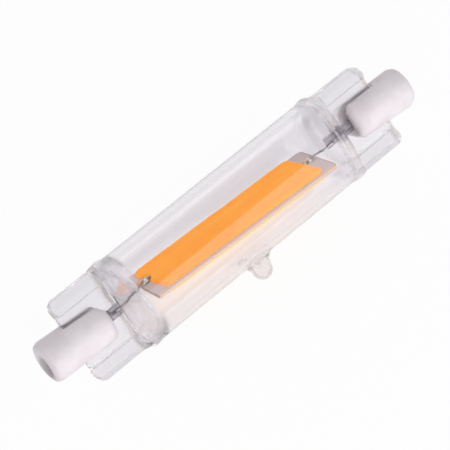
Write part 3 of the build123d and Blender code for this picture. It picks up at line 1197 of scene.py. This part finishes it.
@dataclass(frozen=True)
class Studio:
    """White floor, soft light from two sides and the photograph's camera, with sizes in millimetres."""

    eye: Spot = (-104.32, -112.37, 301.11)
    aim: Spot = (-1.22, 0.683, 8.0)
    focal: float = 2034.9
    picture: float = 450.0
    sensor: float = 36.0
    clip: Pair = (0.01, 20.0)
    rings: tuple[float, ...] = (0.0, 60.0, 200.0, 600.0, 1500.0)
    white: Colour = (1.0, 1.0, 1.0)
    paper_pale: Colour = (0.93, 0.92, 0.93)
    paper_grey: Colour = (0.90, 0.89, 0.90)
    paper_seen: float = 0.95
    paper_mirrored: float = 0.5
    sky_tint: Colour = (0.97, 0.95, 1.0)
    sky: float = 0.5
    mirror_sky: float = 0.22
    panels: tuple[Panel, ...] = (
        Panel("soft_panel_right", (-700.0, 20.0), (-300.0, 500.0), 1.35),
        Panel("low_panel_left", (700.0, 20.0), (560.0, 300.0), 0.9),
    )

    def camera(self) -> None:
        """The photograph's camera, as fitted to the tube's outline."""
        data = bpy.data.cameras.new("photo_camera")
        data.sensor_width = self.sensor
        data.lens = self.focal / self.picture * self.sensor
        data.clip_start, data.clip_end = self.clip
        camera = bpy.data.objects.new("photo_camera", data)
        eye, aim = Vector(self.eye) * MM, Vector(self.aim) * MM
        camera.location = eye
        camera.rotation_euler = (aim - eye).to_track_quat("-Z", "Y").to_euler()
        bpy.context.scene.collection.objects.link(camera)
        bpy.context.scene.camera = camera

    def paper(self) -> Material:
        """White paper that shows as the white background and still takes the lamp's shadow.

        Returns:
            The material.
        """
        t = ShaderTree("studio_paper")
        grain = t.noise(t.spot(), 0.4, 3.0)
        paper = t.principled({
            "Base Color": t.mix(grain, self.paper_pale, self.paper_grey),
            "Roughness": 0.9,
            "Specular IOR Level": 0.1,
        })
        glow = t.out(t.add("ShaderNodeEmission", None, {"Color": self.white, "Strength": 1.0}))
        mirrored = t.ray("Glossy").larger(t.ray("Transmission"))
        seen = t.ray("Camera") * self.paper_seen
        return t.finish(t.either(seen.larger(mirrored * self.paper_mirrored), paper, glow))

    def floor(self) -> None:
        """A wide round floor."""
        around = np.linspace(0.0, 2.0 * math.pi, 49)[:-1]
        r, a = np.meshgrid(self.rings, around, indexing="ij")
        disc = np.stack([r * np.cos(a), r * np.sin(a), 0.0 * r], -1)
        mesh = Skin().grid(disc, flip=True).piece("studio_floor", Place()).mesh
        mesh.materials.append(self.paper())
        floor = bpy.data.objects.new("studio_floor", mesh)
        bpy.context.scene.collection.objects.link(floor)

    def world(self) -> None:
        """White where it is seen, dim in mirror images, and a plain even light elsewhere."""
        t = ShaderTree("studio_world", bpy.data.worlds)
        seen = t.ray("Camera").larger(t.ray("Transmission"))
        plain, dim = (t.background(self.sky_tint, level) for level in (self.sky, self.mirror_sky))
        unseen = t.either(t.ray("Glossy"), plain, dim)
        white = t.background(self.white, 1.0)
        bpy.context.scene.world = t.finish(t.either(seen, unseen, white))

    def build(self) -> None:
        """Camera, floor, world and lamps."""
        self.camera()
        self.floor()
        self.world()
        for panel in self.panels:
            panel.build()


# ---- the lamp


@dataclass(frozen=True)
class Lamp:
    """The whole lamp: the CAD nodes that stay, dressed, and the pieces made here."""

    envelope: Envelope = Envelope()
    coat: FrontCoat = FrontCoat()
    back: Phosphor = Phosphor(
        "phosphor_back_coat", (1.0, 0.54, 0.04), (1.0, 0.62, 0.08), glow=(1.0, 0.5, 0.03))
    ribbons: tuple[Ribbon, ...] = (Ribbon(End.NEAR, 23.2), Ribbon(End.FAR, 21.15))
    # The number after each end is the strength of the painted shade on that ribbon's outer part.
    ribbon_finishes: tuple[RibbonFinish, ...] = (
        RibbonFinish(End.NEAR, 0.7), RibbonFinish(End.FAR, 0.0))
    leads: tuple[Lead, ...] = (Lead(End.NEAR, 23.2, 0.25), Lead(End.FAR, 21.15, -0.7625))
    beads: tuple[Bead, ...] = (
        Bead(End.NEAR, 1.25, 0.72, 0.6, 8.0), Bead(End.FAR, 0.62, 0.62, 0.62, 0.0))

    def dress(self, finishes: dict[str, Material]) -> None:
        """Give each CAD node that stays its finish.

        Args:
            finishes: the materials by name.
        """
        dressing = {"contact_button": "BUTTON", "cap_cement": "cement", "outer_lead": "WIRE",
                "contact_pad": "PAD"}
        finish = {f"{part}_{end.label}": name for part, name in dressing.items() for end in End}
        finish |= {"phosphor_back": "back", "led_substrate": "strip", "led_chips": "die"}
        for node, name in finish.items():
            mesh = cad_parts[node].data
            mesh.materials.clear()
            mesh.materials.append(finishes[name])
            log.info("%s wears %s", node, finishes[name].name)

    def build(self) -> None:
        """All the pieces in order."""
        finishes = {
            "back": self.back.material(),
            "strip": Substrate().material(),
            "cement": Grainy("cap_cement", (0.80, 0.78, 0.74), (0.68, 0.66, 0.62), 0.8).material(),
            "die": Grainy("light_chip", (0.30, 0.26, 0.42), (0.40, 0.36, 0.55), 0.3).material(),
        }
        finishes |= {metal.name: MetalFinish(metal).material() for metal in Metal}
        self.dress(finishes)
        self.envelope.build(ClearGlass().material())
        self.coat.build(Phosphor("phosphor_front_coat").material())
        ceramic = Ceramic().material()
        for end in End:
            Cap(end).build(ceramic)
        for ribbon, dressing, lead in zip(self.ribbons, self.ribbon_finishes, self.leads):
            ribbon.build(dressing.material())
            lead.build(finishes["WIRE"])
        for bead in self.beads:
            bead.build(finishes["SOLDER"])


def main() -> None:
    """Build the lamp and its studio, and note the sizes."""
    logging.basicConfig(level=logging.INFO, format="%(name)s %(message)s")
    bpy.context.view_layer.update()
    bpy.context.scene.view_settings.view_transform = "Standard"
    Lamp().build()
    Studio().build()


if __name__ == "__main__":
    main()
